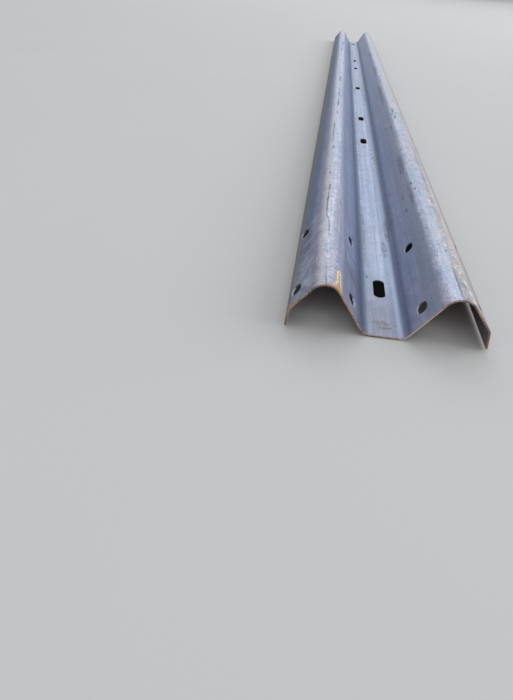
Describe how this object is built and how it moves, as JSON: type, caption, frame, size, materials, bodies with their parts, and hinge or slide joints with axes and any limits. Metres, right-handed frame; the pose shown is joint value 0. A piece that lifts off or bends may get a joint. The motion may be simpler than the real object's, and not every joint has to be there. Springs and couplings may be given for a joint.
{
  "type": "w-beam highway guardrail panel",
  "caption": "Long roll-formed steel barrier rail with two rounded ridges and a flat valley, slotted for post bolts and for lapped splices, in bare mill-scaled steel.",
  "frame": {"origin": "middle of the back face of the valley, on the surface that the panel lies on", "axes": "+Z from the back of the panel to its traffic face, +Y along the rail, +X across it"},
  "size_m": [0.311, 4.3, 0.0825],
  "materials": {
    "mill_scale_steel": "bare hot-rolled steel with blue-grey mill scale, rubbed brighter on the ridges, and orange and brown rust at cut edges and in patches"
  },
  "bodies": {
    "root": {"rail_panel": "mill_scale_steel"}
  },
  "joints": []
}
